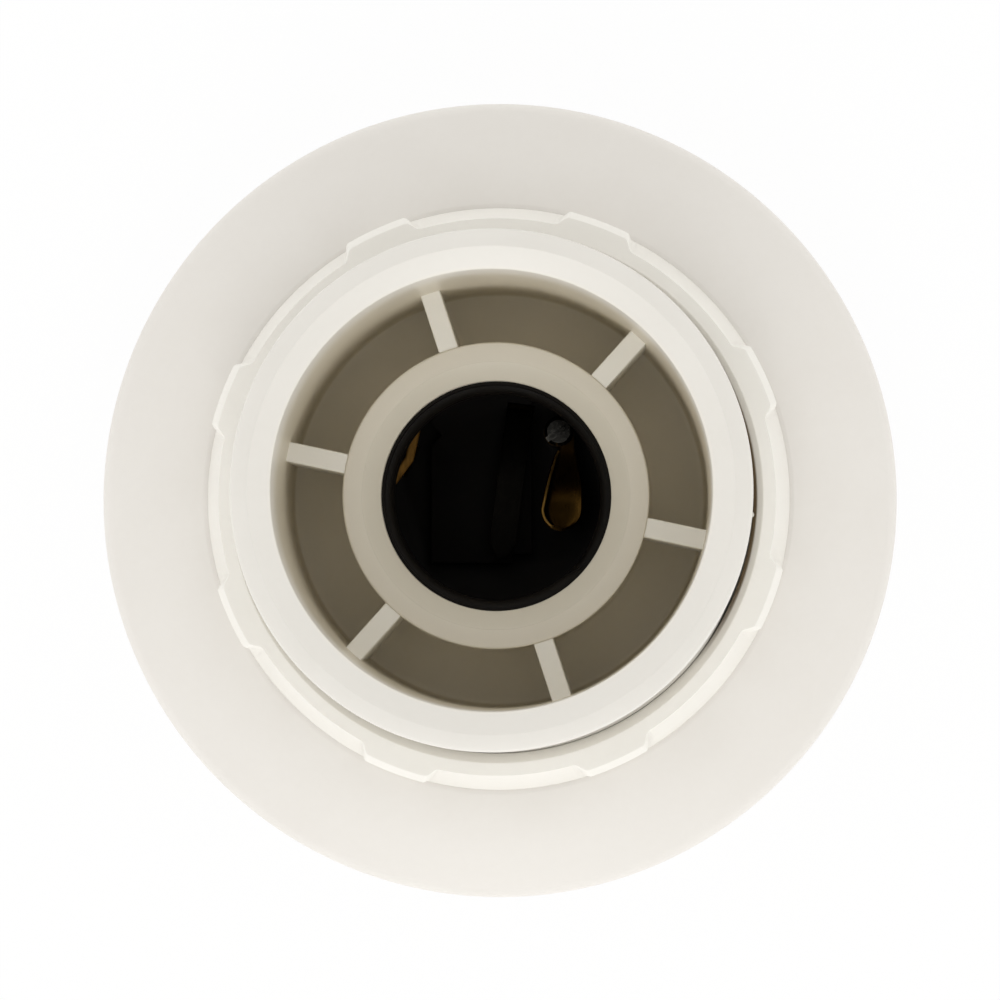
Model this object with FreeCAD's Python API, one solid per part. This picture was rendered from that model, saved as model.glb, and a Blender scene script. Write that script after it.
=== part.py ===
import FreeCAD, Part
import math
import os

# Ceiling batten lamp holder for an Edison screw lamp, with an extended skirt.
# Millimetres. The origin is the centre of the flat back, +Z points out of the lamp mouth.

# Fits and gaps
seat_gap = 0.05          # between flat faces that sit on each other
thread_gap = 0.10        # radial, shade ring on barrel
slip_gap = 0.15          # radial, pieces that drop into a bore
screw_hole_gap = 0.10    # radial, screw shank in a plain hole
cut_over = 1.0           # how far a cutting shape runs past what it cuts

# Mounting plate
plate_thickness = 3.6
plate_lip_height = 2.8
plate_lip_wall = 1.2
fixing_slot_width = 4.4
fixing_slot_length = 9.0
fixing_edge = 2.0        # from the end of a fixing slot to the lip
fixing_angles = (0, 180)
cable_entry_length = 17.0
cable_entry_width = 8.4
cable_entry_edge = 2.7   # from a cable entry to the lip
cable_entry_angles = (90, 270)

# Domed cover
terminal_room = 14.1     # radial, between the barrel and the plate's lip
cover_wall = 2.2
cover_plate_gap = 0.3
cover_shoulder_height = 12.6
cover_edge_round = 2.0
cover_outer_bends = 2    # flats that make the shoulder's round
cover_inner_bends = 1
cover_seat_height = 17.5
cover_seat_margin = 0.55  # flat seat outside the shade ring
cover_hole_gap = 0.5
knockout_width = 16.0
knockout_height = 9.0
knockout_depth = 1.3

# Skirted barrel: skirt wall, recess floor, collar and ribs in one moulding
skirt_height = 54.0      # from the back face to the rim
skirt_radius = 29.7
skirt_wall = 4.6         # at the rim
rim_land = 2.0           # width of the flat rim outside its bevel
rim_bevel_depth = 1.1
rim_edge_round = 0.5
recess_floor_height = 14.0
rib_root_depth = 1.5     # how far a rib runs into the recess floor
collar_height = 31.0
collar_wall = 2.1
collar_land = 2.35       # flat top of the collar, outside its bevel
collar_mouth_gap = 0.35  # the mouth is this much wider than the lamp thread
collar_bevel_depth = 1.5
collar_lip_thickness = 2.9
rib_count = 6
rib_thickness = 2.36
rib_start_angle = 48.0
barrel_thread_height = 0.7
barrel_thread_reach = 6.45   # above the cover's seat
barrel_thread_chamfer = 0.7
barrel_foot_wall = 4.1
flange_reach = 3.0
flange_thickness = 3.0

# Shade ring, walls measured from its thread
ring_height = 8.8
ring_wall = 4.55
ring_notch_wall = 2.6    # between the lugs, at the front
ring_lug_chamfer = 0.8
ring_mouth_bevel = 1.1
ring_mouth_depth = 2.2
ring_lug_count = 8
ring_lug_angle = 14.5
ring_lug_start_angle = 24.5

# Lamp insert, the black threaded cup
insert_bore_radius = 13.25
insert_thread_length = 12.0
insert_wall = 2.6
insert_well_relief = 0.4  # the well below the thread is this much wider
insert_floor_height = 7.0
insert_key_width = 3.4
insert_key_height = 3.4
insert_key_reach = 1.0
insert_key_angles = (0, 180)
bridge_rise = 1.4        # raised centre bridge, above the floor
bridge_left = -8.4
bridge_right = 3.8
bridge_front = -7.6
bridge_notch_width = 2.4
bridge_notch_depth = 1.1

# Contacts
contact_thickness = 0.5
tab_clearance = 0.2      # above the strap
centre_root_angle = 77.4
centre_root_inset = 1.775
centre_tip_x = 0.1
centre_tip_y = -7.2
centre_width = 3.4
centre_tab_width = 3.0
centre_nose_width = 1.2
centre_nose_length = 2.0
centre_fold_rise = 0.8   # above the bridge
centre_apex_rise = 3.2
centre_apex_half = 2.5   # length of each half of the flat top
centre_apex_fall = 0.25
centre_tip_drop = 0.7    # below the apex
centre_swing = 5.5       # degrees, full travel of the leaf
wall_contact_angle = 155.6
wall_contact_inset = 1.55    # from the lamp thread inwards
wall_contact_half_width = 4.4
wall_contact_fold = 12.0
wall_contact_rise = 7.2
wall_contact_lean = 0.5
wall_bend_share = 0.6    # of its rise, where the leaf bends out again
wall_turn_share = 0.8
wall_contact_tab_width = 4.0
wall_contact_pivot_rise = 0.8
wall_contact_swing = 4.0
wall_pocket_depth = 1.85
wall_pocket_half_angle = 24.0
wall_pocket_height = 13.0
leaf_eye_angle = 49.4
leaf_eye_radius = 1.9
leaf_eye_inset = 0.29    # between the eye and the wall
leaf_eye_gap = 0.25      # above and below the eye, for its swing
leaf_eye_rise = 1.7
leaf_neck_width = 1.7
leaf_length = 10.0       # from eye to spoon
leaf_spoon_radius = 2.1
leaf_rise = 2.5
leaf_curl = 0.5          # fall of the spoon's front edge

# Contact screw
contact_screw_radius = 1.2
contact_screw_head_radius = 1.8
contact_screw_head_height = 1.3
contact_screw_edge = 0.4
contact_screw_slot_width = 0.6
contact_screw_slot_depth = 0.6
contact_screw_slot_angle = 35.0

# Conductor straps in the plate
strap_thickness = 0.8
strap_width = 4.4
strap_root_overhang = 1.2    # active strap, behind the centre contact's tab
strap_ring_end = 9.0         # degrees that the neutral ring runs past each contact
strap_ring_inset = 3.35      # its inner corners, from the lamp thread
strap_ring_sides = 6
strap_side_gap = 0.2

# Terminals
terminal_width = 8.0
terminal_height = 7.5
terminal_edge_gap = 0.15     # from a pocket to the lip
terminal_corner = 0.6
terminal_tunnel_radius = 1.95
terminal_tunnel_height = 3.2
terminal_screw_radius = 1.7
terminal_screw_length = 4.6
terminal_screw_lift = 1.7    # tip above the tunnel axis at rest
terminal_slot_width = 0.8
terminal_slot_depth = 1.1
terminal_angles = {"active": 120.0, "neutral": 240.0, "loop": 60.0, "earth": 300.0}
pocket_wall = 1.2
pocket_height = 5.0

# Assembly screws, from the back into the barrel foot
assembly_count = 3
assembly_start_angle = 90.0
assembly_screw_radius = 1.45
assembly_screw_length = 9.5
assembly_head_radius = 2.9
assembly_head_height = 1.8
assembly_head_gap = 0.2
assembly_slot_width = 1.0
assembly_slot_depth = 0.9
assembly_slot_angle = 40.0

# Values that follow: barrel, ring, cover and plate
barrel_thread_radius = skirt_radius + barrel_thread_height
ring_bore_radius = barrel_thread_radius + thread_gap
ring_radius = ring_bore_radius + ring_wall
flange_radius = barrel_thread_radius + flange_reach
rim_inner_radius = skirt_radius - skirt_wall
rim_bevel_radius = skirt_radius - rim_land
lip_inner_radius = barrel_thread_radius + terminal_room
plate_radius = lip_inner_radius + plate_lip_wall
cover_inner_radius = plate_radius + cover_plate_gap
cover_radius = cover_inner_radius + cover_wall
cover_seat_radius = ring_radius + cover_seat_margin
barrel_seat_height = cover_seat_height - cover_wall - seat_gap
barrel_thread_top = cover_seat_height + seat_gap + barrel_thread_reach
plate_top = plate_thickness
piece_base = plate_top + seat_gap
fixing_radius = lip_inner_radius - fixing_edge - fixing_slot_length / 2
cable_entry_radius = lip_inner_radius - cable_entry_edge - cable_entry_width / 2
assembly_radius = barrel_thread_radius - barrel_foot_wall / 2
assembly_angles = [assembly_start_angle + i * 360.0 / assembly_count for i in range(assembly_count)]

# Values that follow: insert and collar
insert_radius = insert_bore_radius + insert_wall
insert_well_radius = insert_bore_radius + insert_well_relief
collar_bore_radius = insert_radius + slip_gap
collar_radius = collar_bore_radius + collar_wall
collar_land_inner_radius = collar_radius - collar_land
collar_mouth_radius = insert_bore_radius + collar_mouth_gap
collar_lip_base = collar_height - collar_lip_thickness
insert_top = collar_lip_base - seat_gap
insert_thread_base = insert_top - insert_thread_length
bridge_height = insert_floor_height + bridge_rise
wall_pocket_radius = insert_bore_radius + wall_pocket_depth
wall_pocket_top = insert_floor_height + wall_pocket_height

# Values that follow: straps, contacts and terminals
strap_top = plate_top - seat_gap
strap_base = strap_top - strap_thickness
strap_ring_inner = insert_bore_radius - strap_ring_inset
strap_ring_outer = strap_ring_inner + strap_width
tab_base = strap_top + tab_clearance
centre_root_x = (insert_bore_radius - centre_root_inset) * math.cos(math.radians(centre_root_angle))
centre_root_y = (insert_bore_radius - centre_root_inset) * math.sin(math.radians(centre_root_angle))
centre_fold_height = bridge_height + centre_fold_rise
centre_apex_height = bridge_height + centre_apex_rise
wall_contact_reach = insert_bore_radius - wall_contact_inset
wall_contact_pivot = insert_floor_height + wall_contact_pivot_rise
wall_contact_top = wall_contact_pivot + wall_contact_rise
leaf_eye_reach = insert_bore_radius - leaf_eye_inset - leaf_eye_radius
leaf_eye_x = leaf_eye_reach * math.cos(math.radians(leaf_eye_angle))
leaf_eye_y = leaf_eye_reach * math.sin(math.radians(leaf_eye_angle))
leaf_spoon_x = leaf_eye_x
leaf_spoon_y = leaf_eye_y - leaf_length
leaf_eye_height = insert_floor_height + leaf_eye_rise
leaf_eye_top = leaf_eye_height + contact_thickness
pocket_half = terminal_width / 2 + slip_gap + pocket_wall
terminal_radius = lip_inner_radius - terminal_edge_gap - pocket_half
z_axis = FreeCAD.Vector(0, 0, 1)


def point(x, y, z):
    return FreeCAD.Vector(x, y, z)


def polar(radius, angle, z=0.0):
    a = math.radians(angle)
    return point(radius * math.cos(a), radius * math.sin(a), z)


def turned(shape, angle, about=None):
    """A copy turned about a vertical line, through the origin unless told otherwise."""
    copy = shape.copy()
    copy.rotate(about or point(0, 0, 0), z_axis, angle)
    return copy


def fused(shapes):
    return shapes[0].multiFuse(shapes[1:]).removeSplitter()


def revolved(edges):
    """A solid of revolution from a closed outline in the XZ half plane."""
    face = Part.Face(Part.Wire(edges))
    return face.revolve(point(0, 0, 0), z_axis, 360)


def outline(corners):
    """Straight edges through (radius, height) corners, closed."""
    spots = [point(r, 0, z) for r, z in corners]
    return Part.makePolygon(spots + spots[:1]).Edges


def profile_solid(corners):
    return revolved(outline(corners))


def cylinder(radius, z0, z1, x=0.0, y=0.0):
    return Part.makeCylinder(radius, z1 - z0, point(x, y, z0))


def tube(outer, inner, z0, z1):
    return cylinder(outer, z0, z1).cut(cylinder(inner, z0 - cut_over, z1 + cut_over))


def block(x0, x1, y0, y1, z0, z1):
    return Part.makeBox(x1 - x0, y1 - y0, z1 - z0, point(x0, y0, z0))


def prism(corners, z0, z1):
    spots = [point(x, y, z0) for x, y in corners]
    face = Part.Face(Part.makePolygon(spots + spots[:1]))
    return face.extrude(point(0, 0, z1 - z0))


def sector(radius, centre_angle, half_angle, z0, z1):
    """A wedge of a round bar."""
    bar = Part.makeCylinder(radius, z1 - z0, point(0, 0, z0), z_axis, 2 * half_angle)
    return turned(bar, centre_angle - half_angle)


def wedge(reach, centre_angle, half_angle, z0, z1):
    """A pie slice with straight sides."""
    rim = [polar(reach, centre_angle + s * half_angle) for s in (-1, 0, 1)]
    return prism([(0, 0)] + [(p.x, p.y) for p in rim], z0, z1)


def strap_plate(radius, z0, z1):
    """A many-sided plate with one flat under the leaf's screw."""
    step = 360.0 / strap_ring_sides
    rim = [polar(radius, leaf_eye_angle + (i + 0.5) * step) for i in range(strap_ring_sides)]
    return prism([(p.x, p.y) for p in rim], z0, z1)


def slot(length, width, radius, angle, z0, z1):
    """A round-ended slot, its long side along the radius."""
    reach = length / 2 - width / 2
    ends = [cylinder(width / 2, z0, z1, radius + s * reach, 0) for s in (-1, 1)]
    middle = block(radius - reach, radius + reach, -width / 2, width / 2, z0, z1)
    return turned(fused([middle] + ends), angle)


def moved(path, depth):
    """An open path moved sideways by depth, to its left, with square corners kept."""
    spots = [point(u, 0, z) for u, z in path]
    runs = [(b - a).normalize() for a, b in zip(spots, spots[1:])]
    sides = [point(-run.z, 0, run.x) for run in runs]
    sides = [sides[0]] + sides + [sides[-1]]
    shifted = []
    for spot, before, after in zip(spots, sides, sides[1:]):
        step = (before + after) * (depth / (1 + before.dot(after)))
        shifted.append((spot.x + step.x, spot.z + step.z))
    return shifted


def bent_strip(path, thickness, width):
    """Sheet metal along a path in the XZ plane, centred on y=0; the path is its right side."""
    other = moved(path, thickness)
    spots = [point(u, -width / 2, z) for u, z in path + other[::-1]]
    face = Part.Face(Part.makePolygon(spots + spots[:1]))
    return face.extrude(point(0, width, 0))


# Mounting plate

def terminal_pocket(angle):
    half = terminal_width / 2 + slip_gap
    near, far = terminal_radius - half, terminal_radius + half
    side = terminal_width / 2
    top = plate_top + pocket_height
    outer = block(near - pocket_wall, far + pocket_wall, -side, side, plate_top - cut_over, top)
    room = block(near, far, -terminal_width, terminal_width, plate_top, top + cut_over)
    return turned(outer.cut(room), angle)


def strap_shape(name, z0, z1, grow=0.0):
    """Plan form of a conductor strap, or of its channel when grown."""
    half = strap_width / 2 + grow
    if name == "active":
        root = contact_root_plan()
        run = polar(terminal_radius, terminal_angles["active"]) - root
        bar = block(-strap_root_overhang - grow, run.Length + half, -half, half, z0, z1)
        bar = turned(bar, math.degrees(math.atan2(run.y, run.x)))
        bar.translate(root)
        return bar
    ring = strap_plate(strap_ring_outer + grow, z0, z1).cut(strap_plate(strap_ring_inner - grow, z0, z1))
    gap_centre = (wall_contact_angle + leaf_eye_angle) / 2
    gap_half = (wall_contact_angle - leaf_eye_angle) / 2 - strap_ring_end
    gap_half -= math.degrees(grow / strap_ring_inner)
    ring = ring.cut(wedge(strap_ring_outer * 2, gap_centre, gap_half, z0, z1))
    tail = block(strap_ring_inner + cut_over, terminal_radius + half, -half, half, z0, z1)
    return fused([ring, turned(tail, terminal_angles["neutral"])])


def contact_root_plan():
    return point(centre_root_x, centre_root_y, 0)


def mounting_plate():
    over = plate_top + cut_over
    plate = cylinder(plate_radius, 0, plate_top)
    lip = tube(plate_radius, lip_inner_radius, plate_top - cut_over, plate_top + plate_lip_height)
    pockets = [terminal_pocket(a) for a in terminal_angles.values()]
    cuts = [
        slot(fixing_slot_length, fixing_slot_width, fixing_radius, angle, -cut_over, over)
        for angle in fixing_angles
    ]
    for angle in cable_entry_angles:
        entry = slot(cable_entry_length, cable_entry_width, 0, 90, -cut_over, over)
        entry.translate(point(cable_entry_radius, 0, 0))
        cuts.append(turned(entry, angle))
    for angle in assembly_angles:
        p = polar(assembly_radius, angle)
        room = assembly_head_height + assembly_head_gap
        cuts.append(cylinder(assembly_screw_radius + screw_hole_gap, -cut_over, over, p.x, p.y))
        cuts.append(cylinder(assembly_head_radius + assembly_head_gap, -cut_over, room, p.x, p.y))
    for name in ("active", "neutral"):
        cuts.append(strap_shape(name, strap_base - seat_gap, over, strap_side_gap))
    return fused([plate, lip] + pockets).cut(fused(cuts))


# Domed cover

def cover_skin(offset, bends):
    """The dome as a solid, its skin moved inwards by offset, its shoulder rounded in so many bends."""
    wall_r = cover_radius - offset
    seat_z = cover_seat_height - offset
    corners = [(0, 0), (0, seat_z), (cover_seat_radius, seat_z)]
    for i in range(bends + 1):
        turn = math.pi / 2 * (1 - i / bends)
        across = cover_edge_round * (1 - math.cos(turn))
        up = cover_edge_round * math.sin(turn)
        corners.append((wall_r - across, cover_shoulder_height + up - offset))
    return profile_solid(corners + [(wall_r, 0)])


def base_cover():
    shell = cover_skin(0, cover_outer_bends).cut(cover_skin(cover_wall, cover_inner_bends))
    hole = cylinder(barrel_thread_radius + cover_hole_gap, -cut_over, cover_seat_height + cut_over)
    thin = cover_inner_radius + knockout_depth
    side = knockout_width / 2
    cuts = [hole]
    for angle in cable_entry_angles:
        recess = block(0, thin, -side, side, -cut_over, knockout_height)
        recess = recess.common(cylinder(thin, -cut_over, knockout_height))
        cuts.append(turned(recess, angle))
    return shell.cut(fused(cuts))


# Skirted barrel

def barrel_profile():
    foot = piece_base
    return [
        (barrel_thread_radius, foot),
        (barrel_thread_radius, barrel_seat_height - flange_thickness),
        (flange_radius, barrel_seat_height - flange_thickness),
        (flange_radius, barrel_seat_height),
        (barrel_thread_radius, barrel_seat_height),
        (barrel_thread_radius, barrel_thread_top),
        (skirt_radius, barrel_thread_top + barrel_thread_chamfer),
        (skirt_radius, skirt_height - rim_edge_round),
        (skirt_radius - rim_edge_round, skirt_height),
        (rim_bevel_radius, skirt_height),
        (rim_inner_radius, skirt_height - rim_bevel_depth),
        (rim_inner_radius, recess_floor_height),
        (collar_radius, recess_floor_height),
        (collar_radius, collar_height),
        (collar_land_inner_radius, collar_height),
        (collar_mouth_radius, collar_height - collar_bevel_depth),
        (collar_mouth_radius, collar_lip_base),
        (collar_bore_radius, collar_lip_base),
        (collar_bore_radius, foot),
    ]


def skirt_rib(angle):
    side = rib_thickness / 2
    rib = block(
        collar_radius - collar_wall / 2,
        (rim_inner_radius + skirt_radius) / 2,
        -side,
        side,
        recess_floor_height - rib_root_depth,
        collar_height,
    )
    return turned(rib, angle)


def skirted_barrel():
    ribs = [skirt_rib(rib_start_angle + i * 360.0 / rib_count) for i in range(rib_count)]
    depth = assembly_head_height + assembly_screw_length + 2 * assembly_head_gap
    cuts = [turned(insert_key(slip_gap), angle) for angle in insert_key_angles]
    for angle in assembly_angles:
        p = polar(assembly_radius, angle)
        cuts.append(cylinder(assembly_screw_radius + screw_hole_gap / 2, 0, depth, p.x, p.y))
    return fused([profile_solid(barrel_profile())] + ribs).cut(fused(cuts))


# Shade ring

def shade_ring():
    base = cover_seat_height + seat_gap
    top = base + ring_height
    inner = [
        (ring_bore_radius, base),
        (ring_bore_radius, top - ring_mouth_depth),
        (ring_bore_radius + ring_mouth_bevel, top),
    ]
    notched = [
        (ring_bore_radius + ring_notch_wall, top),
        (ring_radius, base),
    ]
    lugged = [
        (ring_radius - ring_lug_chamfer, top),
        (ring_radius, top - ring_lug_chamfer),
        (ring_radius, base),
    ]
    full = profile_solid(inner + lugged)
    pieces = [profile_solid(inner + notched)]
    for i in range(ring_lug_count):
        angle = ring_lug_start_angle + i * 360.0 / ring_lug_count
        wedge = sector(ring_radius + cut_over, angle, ring_lug_angle / 2, base - cut_over, top + cut_over)
        pieces.append(full.common(wedge))
    return fused(pieces)


# Lamp insert

def insert_key(grow=0.0):
    reach = insert_radius + insert_key_reach + grow
    half = insert_key_width / 2 + grow
    low = piece_base - grow
    return block(insert_bore_radius, reach, -half, half, low, piece_base + insert_key_height + grow)


def cup():
    return profile_solid(
        [
            (0, piece_base),
            (insert_radius, piece_base),
            (insert_radius, insert_top),
            (insert_bore_radius, insert_top),
            (insert_bore_radius, insert_thread_base),
            (insert_well_radius, insert_thread_base),
            (insert_well_radius, insert_floor_height),
            (0, insert_floor_height),
        ]
    )


def centre_bridge():
    low = insert_floor_height - cut_over
    bridge = block(bridge_left, bridge_right, bridge_front, insert_radius, low, bridge_height)
    notch = block(
        bridge_right - bridge_notch_width,
        bridge_right + cut_over,
        bridge_front - cut_over,
        bridge_front + bridge_notch_depth,
        insert_floor_height,
        bridge_height + cut_over,
    )
    return bridge.cut(notch).common(cylinder(insert_radius - seat_gap, low, bridge_height))


def thread_insert():
    low = insert_floor_height - cut_over
    seat = cylinder(leaf_eye_radius, low, leaf_eye_height - leaf_eye_gap, leaf_eye_x, leaf_eye_y)
    keys = [turned(insert_key(), angle) for angle in insert_key_angles]
    pocket = sector(
        wall_pocket_radius, wall_contact_angle, wall_pocket_half_angle, insert_floor_height, wall_pocket_top
    )
    core = cylinder(wall_contact_reach - cut_over, 0, insert_top)
    cuts = [
        pocket.cut(core),
        cylinder(contact_screw_radius + screw_hole_gap, 0, insert_top, leaf_eye_x, leaf_eye_y),
        centre_tab_slot(),
        wall_tab_slot(),
    ]
    return fused([cup(), centre_bridge(), seat] + keys).cut(fused(cuts))


# Contacts

def centre_frame(shape):
    """Move a shape from the strip's own frame, root at the origin and tip along +X, to its place."""
    run_x = centre_tip_x - centre_root_x
    run_y = centre_tip_y - centre_root_y
    placed = turned(shape, math.degrees(math.atan2(run_y, run_x)))
    placed.translate(contact_root_plan())
    return placed


def centre_length():
    return math.hypot(centre_tip_x - centre_root_x, centre_tip_y - centre_root_y)


def centre_contact():
    """A strip that rises through the floor, folds over the bridge and bows up in the middle."""
    length = centre_length()
    middle = math.hypot(centre_root_x, centre_root_y)
    side = [
        (contact_thickness, tab_base),
        (contact_thickness, centre_fold_height - contact_thickness),
        (middle - centre_apex_half, centre_apex_height - centre_apex_fall - contact_thickness),
        (middle, centre_apex_height - contact_thickness),
        (middle + centre_apex_half, centre_apex_height - centre_apex_fall - contact_thickness),
        (length, centre_apex_height - centre_tip_drop - contact_thickness),
    ]
    strip = bent_strip(side, contact_thickness, centre_width)
    half = centre_width / 2
    tab = centre_tab_width / 2
    nose = centre_nose_width / 2
    shoulder = 2 * contact_thickness
    plan = [
        (-contact_thickness, -tab),
        (shoulder, -tab),
        (shoulder, -half),
        (length - centre_nose_length, -half),
        (length + contact_thickness, -nose),
        (length + contact_thickness, nose),
        (length - centre_nose_length, half),
        (shoulder, half),
        (shoulder, tab),
        (-contact_thickness, tab),
    ]
    return centre_frame(strip.common(prism(plan, 0, insert_top)))


def centre_tab_slot():
    swing = math.sin(math.radians(centre_swing)) * (centre_fold_height - piece_base)
    half = centre_tab_width / 2 + slip_gap
    back = -swing - slip_gap
    hole = block(back, contact_thickness + seat_gap, -half, half, 0, insert_top)
    low = bridge_height - contact_thickness
    relief = block(back, 2 * contact_thickness, -half, half, low, insert_top)
    return centre_frame(fused([hole, relief]))


def wall_frame(shape):
    """From a frame with X outwards through the contact's middle."""
    return turned(shape, wall_contact_angle)


def wall_contact():
    """A leaf folded down its middle, bent in towards the lamp and out again at the top."""
    reach = wall_contact_reach
    pivot = wall_contact_pivot
    rise = wall_contact_rise
    thick = contact_thickness
    inner = [
        (reach + wall_contact_lean, pivot),
        (reach, pivot + wall_bend_share * rise),
        (reach + wall_contact_lean / 2, pivot + wall_turn_share * rise),
        (reach + wall_contact_lean, wall_contact_top),
    ]
    leaf = bent_strip(inner[::-1], thick, 2 * wall_contact_half_width)
    keep = block(0, 2 * reach, -thick / 2, wall_contact_half_width, 0, insert_top)
    half_leaf = turned(leaf.common(keep), wall_contact_fold, point(reach, 0, 0))
    other_half = half_leaf.mirror(point(0, 0, 0), point(0, 1, 0))
    side = wall_contact_tab_width / 2
    start = reach + wall_contact_lean
    tab = block(start, start + thick, -side, side, tab_base, pivot + thick)
    return wall_frame(fused([half_leaf, other_half, tab]))


def wall_tab_slot():
    swing = math.sin(math.radians(wall_contact_swing)) * (wall_contact_pivot - piece_base)
    half = wall_contact_tab_width / 2 + slip_gap
    start = wall_contact_reach + wall_contact_lean
    end = start + contact_thickness + seat_gap
    top = insert_floor_height + wall_contact_tab_width
    return wall_frame(block(start - swing - slip_gap, end, -half, half, 0, top))


def leaf_contact():
    """A stamped leaf: an eye under the screw, a neck that climbs, and a spoon at its end."""
    low = leaf_eye_height
    high = low + leaf_rise
    neck_end = leaf_eye_y - leaf_eye_radius
    spoon_mid = leaf_spoon_y + leaf_spoon_radius / 2
    tip = leaf_spoon_y - leaf_spoon_radius - leaf_curl
    side = [
        (-leaf_eye_y - leaf_eye_radius - leaf_curl, low),
        (-neck_end, low),
        (-spoon_mid, high),
        (-leaf_spoon_y, high),
        (-tip, high - leaf_curl),
    ]
    sheet = bent_strip(side, contact_thickness, 2 * leaf_eye_reach)
    sheet = turned(sheet, -90)
    sheet.translate(point(leaf_eye_x, 0, 0))
    eye = cylinder(leaf_eye_radius, 0, insert_top, leaf_eye_x, leaf_eye_y)
    spoon = cylinder(leaf_spoon_radius, 0, insert_top, leaf_spoon_x, leaf_spoon_y)
    root_x = leaf_eye_x + leaf_eye_radius - leaf_neck_width
    neck = prism(
        [
            (root_x, leaf_eye_y),
            (root_x + leaf_neck_width, leaf_eye_y),
            (root_x + leaf_neck_width, neck_end),
            (leaf_spoon_x + leaf_spoon_radius, leaf_spoon_y),
            (leaf_spoon_x - leaf_spoon_radius, leaf_spoon_y),
            (root_x, neck_end),
        ],
        0,
        insert_top,
    )
    hole = cylinder(contact_screw_radius + 3 * screw_hole_gap, 0, insert_top, leaf_eye_x, leaf_eye_y)
    return sheet.common(fused([eye, spoon, neck])).cut(hole)


def screw(x, y, tip, head_base, head_top, shank_radius, head_radius, edge):
    """A headed screw standing tip down, or head down where its head is lower than its tip."""
    away = 1 if head_top > head_base else -1
    profile = [
        (0, tip),
        (shank_radius, tip),
        (shank_radius, head_base),
        (head_radius, head_base),
        (head_radius, head_top - away * edge),
        (head_radius - edge, head_top),
        (0, head_top),
    ]
    body = profile_solid(profile)
    body.translate(point(x, y, 0))
    return body


def driver_slot(x, y, reach, width, z0, z1, angle):
    bar = turned(block(-reach, reach, -width / 2, width / 2, z0, z1), angle)
    bar.translate(point(x, y, 0))
    return bar


def contact_screw():
    base = leaf_eye_top + leaf_eye_gap
    top = base + contact_screw_head_height
    x, y = leaf_eye_x, leaf_eye_y
    body = screw(
        x, y, strap_base, base, top, contact_screw_radius, contact_screw_head_radius, contact_screw_edge
    )
    reach = 2 * contact_screw_head_radius
    low = top - contact_screw_slot_depth
    return body.cut(
        driver_slot(x, y, reach, contact_screw_slot_width, low, top + cut_over, contact_screw_slot_angle)
    )


# Straps and terminals

def active_strap():
    return strap_shape("active", strap_base, strap_top)


def neutral_strap():
    strap = strap_shape("neutral", strap_base, strap_top)
    hole = cylinder(contact_screw_radius + screw_hole_gap / 2, 0, plate_top, leaf_eye_x, leaf_eye_y)
    return strap.cut(hole)


def terminal(angle):
    """A brass block with a tunnel for the wire and a tapped hole above it."""
    half = terminal_width / 2
    edge = terminal_corner
    plan = []
    for sx, sy in ((1, 1), (-1, 1), (-1, -1), (1, -1)):
        corner = [(sx * half, sy * (half - edge)), (sx * (half - edge), sy * half)]
        plan += corner if sx * sy > 0 else corner[::-1]
    body = prism([(terminal_radius + x, y) for x, y in plan], piece_base, piece_base + terminal_height)
    axis_z = piece_base + terminal_tunnel_height
    start = point(terminal_radius, -terminal_width, axis_z)
    tunnel = Part.makeCylinder(terminal_tunnel_radius, 2 * terminal_width, start, point(0, 1, 0))
    top = piece_base + terminal_height + cut_over
    tapped = cylinder(terminal_screw_radius + screw_hole_gap / 2, axis_z, top, terminal_radius, 0)
    return turned(body.cut(fused([tunnel, tapped])), angle)


def terminal_screw(angle):
    tip = piece_base + terminal_tunnel_height + terminal_screw_lift
    top = tip + terminal_screw_length
    body = cylinder(terminal_screw_radius, tip, top)
    body.translate(point(terminal_radius, 0, 0))
    low = top - terminal_slot_depth
    reach = 2 * terminal_screw_radius
    driver = driver_slot(terminal_radius, 0, reach, terminal_slot_width, low, top + cut_over, 0)
    return turned(body.cut(driver), angle)


def assembly_screws():
    screws = []
    base = assembly_head_gap
    head_top = base + assembly_head_height
    tip = head_top + assembly_screw_length
    for angle in assembly_angles:
        p = polar(assembly_radius, angle)
        body = screw(p.x, p.y, tip, head_top, base, assembly_screw_radius, assembly_head_radius, 0)
        reach = 2 * assembly_head_radius
        turn = angle + assembly_slot_angle
        deep = base + assembly_slot_depth
        driver = driver_slot(p.x, p.y, reach, assembly_slot_width, -cut_over, deep, turn)
        screws.append(body.cut(driver))
    return Part.makeCompound(screws)


def save(name, shape):
    shape.exportStep("parts/" + name + ".step")
    solids = len(shape.Solids)
    print(name, "solids", solids, "valid", shape.isValid(), "volume", round(shape.Volume, 1))


def main():
    os.makedirs("parts", exist_ok=True)
    save("mounting_plate", mounting_plate())
    save("base_cover", base_cover())
    save("skirted_barrel", skirted_barrel())
    save("shade_ring", shade_ring())
    save("thread_insert", thread_insert())
    save("centre_contact", centre_contact())
    save("side_contact_left", wall_contact())
    save("side_contact_right", leaf_contact())
    save("contact_screw", contact_screw())
    save("active_strap", active_strap())
    save("neutral_strap", neutral_strap())
    for name, angle in terminal_angles.items():
        save(name + "_terminal", terminal(angle))
        save(name + "_terminal_screw", terminal_screw(angle))
    save("assembly_screws", assembly_screws())


main()
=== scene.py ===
import bpy
import bmesh
import math
from mathutils import Matrix, Vector


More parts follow.
